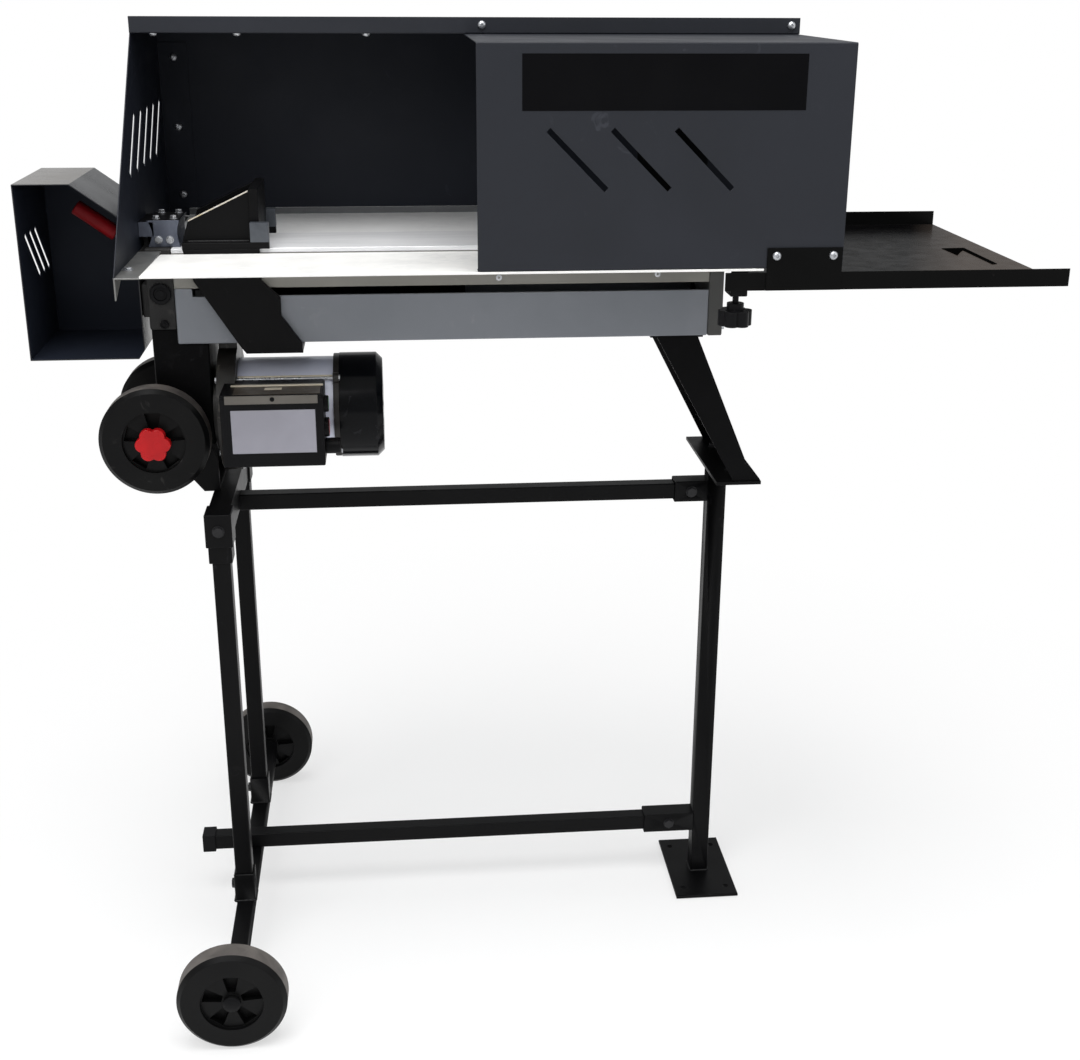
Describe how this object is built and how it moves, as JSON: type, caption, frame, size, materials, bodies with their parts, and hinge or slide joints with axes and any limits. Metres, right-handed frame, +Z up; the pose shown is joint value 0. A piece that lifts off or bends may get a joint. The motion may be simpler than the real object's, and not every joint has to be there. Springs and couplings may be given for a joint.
{
  "type": "log splitter",
  "caption": "Horizontal electric log splitter: a hydraulic pusher slides along a beam towards a fixed wedge, under a sheet steel guard, on a wheeled stand with an output table.",
  "frame": {"origin": "on the ground under the middle of the machine's bounding box", "axes": "+X along the beam from the motor end to the output table, +Y away from the operator, +Z up"},
  "size_m": [1.356, 0.784, 1.34],
  "materials": {
    "black_paint": "semi-gloss powder coat",
    "anthracite_paint": "fine textured powder coat",
    "beam_grey_paint": "satin paint",
    "galvanised_sheet": "bright galvanised sheet",
    "ground_steel": "ground steel",
    "zinc_steel": "zinc plated",
    "hard_chrome": "hard chrome",
    "cast_grey": "painted casting",
    "silver_casting": "die cast",
    "motor_silver": "painted die casting",
    "rotor_steel": "machined",
    "black_plastic": "moulded",
    "black_cover": "satin paint",
    "red_plastic": "moulded",
    "green_plastic": "moulded",
    "pad_plastic": "moulded nylon"
  },
  "bodies": {
    "frame": {"back_guard": "anthracite_paint", "beam_end_cap": "cast_grey", "beam_profile": "beam_grey_paint", "bed_plate": "ground_steel", "clamp_bracket": "black_paint", "cord_gland": "black_plastic", "end_casting": "cast_grey", "fan_cover": "black_cover", "frame_bolts": "zinc_steel", "front_tray": "galvanised_sheet", "guard_bolts": "zinc_steel", "guard_end_panel": "anthracite_paint", "guard_mount": "silver_casting", "lever_guard": "anthracite_paint", "machine_axle": "zinc_steel", "motor_bearings": "rotor_steel", "motor_end_shields": "black_cover", "motor_housing": "motor_silver", "motor_tie_rods": "zinc_steel", "oil_tank": "beam_grey_paint", "output_table": "black_paint", "piston_rod": "hard_chrome", "pump_body": "cast_grey", "rail_end_cap": "black_plastic", "rear_tray": "galvanised_sheet", "stand_axle": "zinc_steel", "stand_axle_beam": "black_paint", "stand_bottom_rail": "black_paint", "stand_legs": "black_paint", "stand_post": "black_paint", "stand_top_beam": "black_paint", "stand_top_rail": "black_paint", "support_leg": "black_paint", "switch_box": "black_plastic", "tank_plugs": "black_plastic", "tray_brackets": "galvanised_sheet", "wedge": "black_paint", "wedge_cover": "anthracite_paint", "wheel_bracket": "black_paint", "wheel_star_caps": "red_plastic"},
    "pusher": {"pusher_head": "black_paint", "pusher_cheeks": "black_paint", "pusher_keeper": "black_paint", "slide_pads": "pad_plastic", "crosshead": "black_paint", "cylinder_barrel": "black_paint"},
    "rotor": {"motor_rotor": "rotor_steel", "motor_fan": "black_plastic", "pump_drive_gear": "rotor_steel"},
    "idler": {"pump_idler_gear": "rotor_steel"},
    "lever": {"control_lever": "zinc_steel", "lever_grip": "red_plastic"},
    "spool": {"valve_spool": "hard_chrome"},
    "front_stand_wheel": {"stand_wheel_front": "black_plastic"},
    "rear_stand_wheel": {"stand_wheel_rear": "black_plastic"},
    "front_machine_wheel": {"machine_wheel_front": "black_plastic"},
    "rear_machine_wheel": {"machine_wheel_rear": "black_plastic"},
    "clamp_screw": {"clamp_knob": "black_plastic"},
    "start_button": {"start_button": "green_plastic"},
    "stop_button": {"stop_button": "red_plastic"}
  },
  "joints": [
    {"name": "pusher_slide", "type": "slide", "parent": "frame", "child": "pusher", "axis": [1, 0, 0], "range_m": [0, 0.335]},
    {"name": "motor_spin", "type": "hinge", "parent": "frame", "child": "rotor", "pos_m": [-0.349, 0, 0.81], "axis": [1, 0, 0], "continuous": true},
    {"name": "idler_spin", "type": "hinge", "parent": "frame", "child": "idler", "pos_m": [-0.497, 0, 0.846], "axis": [1, 0, 0], "continuous": true},
    {"name": "lever_tilt", "type": "hinge", "parent": "frame", "child": "lever", "pos_m": [-0.551, 0, 1.046], "axis": [0, -1, 0], "range_deg": [0, 18], "stiffness_Nm_per_rad": 2, "springref_deg": -11.46},
    {"name": "spool_slide", "type": "slide", "parent": "frame", "child": "spool", "axis": [1, 0, 0], "range_m": [0, 0.0095]},
    {"name": "front_stand_wheel_roll", "type": "hinge", "parent": "frame", "child": "front_stand_wheel", "pos_m": [-0.439, -0.368, 0.075], "axis": [0, 1, 0], "continuous": true},
    {"name": "rear_stand_wheel_roll", "type": "hinge", "parent": "frame", "child": "rear_stand_wheel", "pos_m": [-0.439, 0.368, 0.075], "axis": [0, 1, 0], "continuous": true},
    {"name": "front_machine_wheel_roll", "type": "hinge", "parent": "frame", "child": "front_machine_wheel", "pos_m": [-0.524, -0.089, 0.79], "axis": [0, 1, 0], "continuous": true},
    {"name": "rear_machine_wheel_roll", "type": "hinge", "parent": "frame", "child": "rear_machine_wheel", "pos_m": [-0.524, 0.089, 0.79], "axis": [0, 1, 0], "continuous": true},
    {"name": "clamp_turn", "type": "hinge", "parent": "frame", "child": "clamp_screw", "pos_m": [0.245, -0.2385, 0.98], "axis": [0, 0, 1], "range_deg": [0, 720]},
    {"name": "start_press", "type": "slide", "parent": "frame", "child": "start_button", "axis": [-1, 0, 0], "range_m": [0, 0.003], "stiffness_N_per_m": 300, "springref_m": -0.002},
    {"name": "stop_press", "type": "slide", "parent": "frame", "child": "stop_button", "axis": [-1, 0, 0], "range_m": [0, 0.003], "stiffness_N_per_m": 300, "springref_m": -0.002}
  ],
  "couplings": [
    {"joint": "idler_spin", "follows": "motor_spin", "ratio": -1},
    {"joint": "spool_slide", "follows": "lever_tilt", "m_per_rad": 0.03}
  ]
}
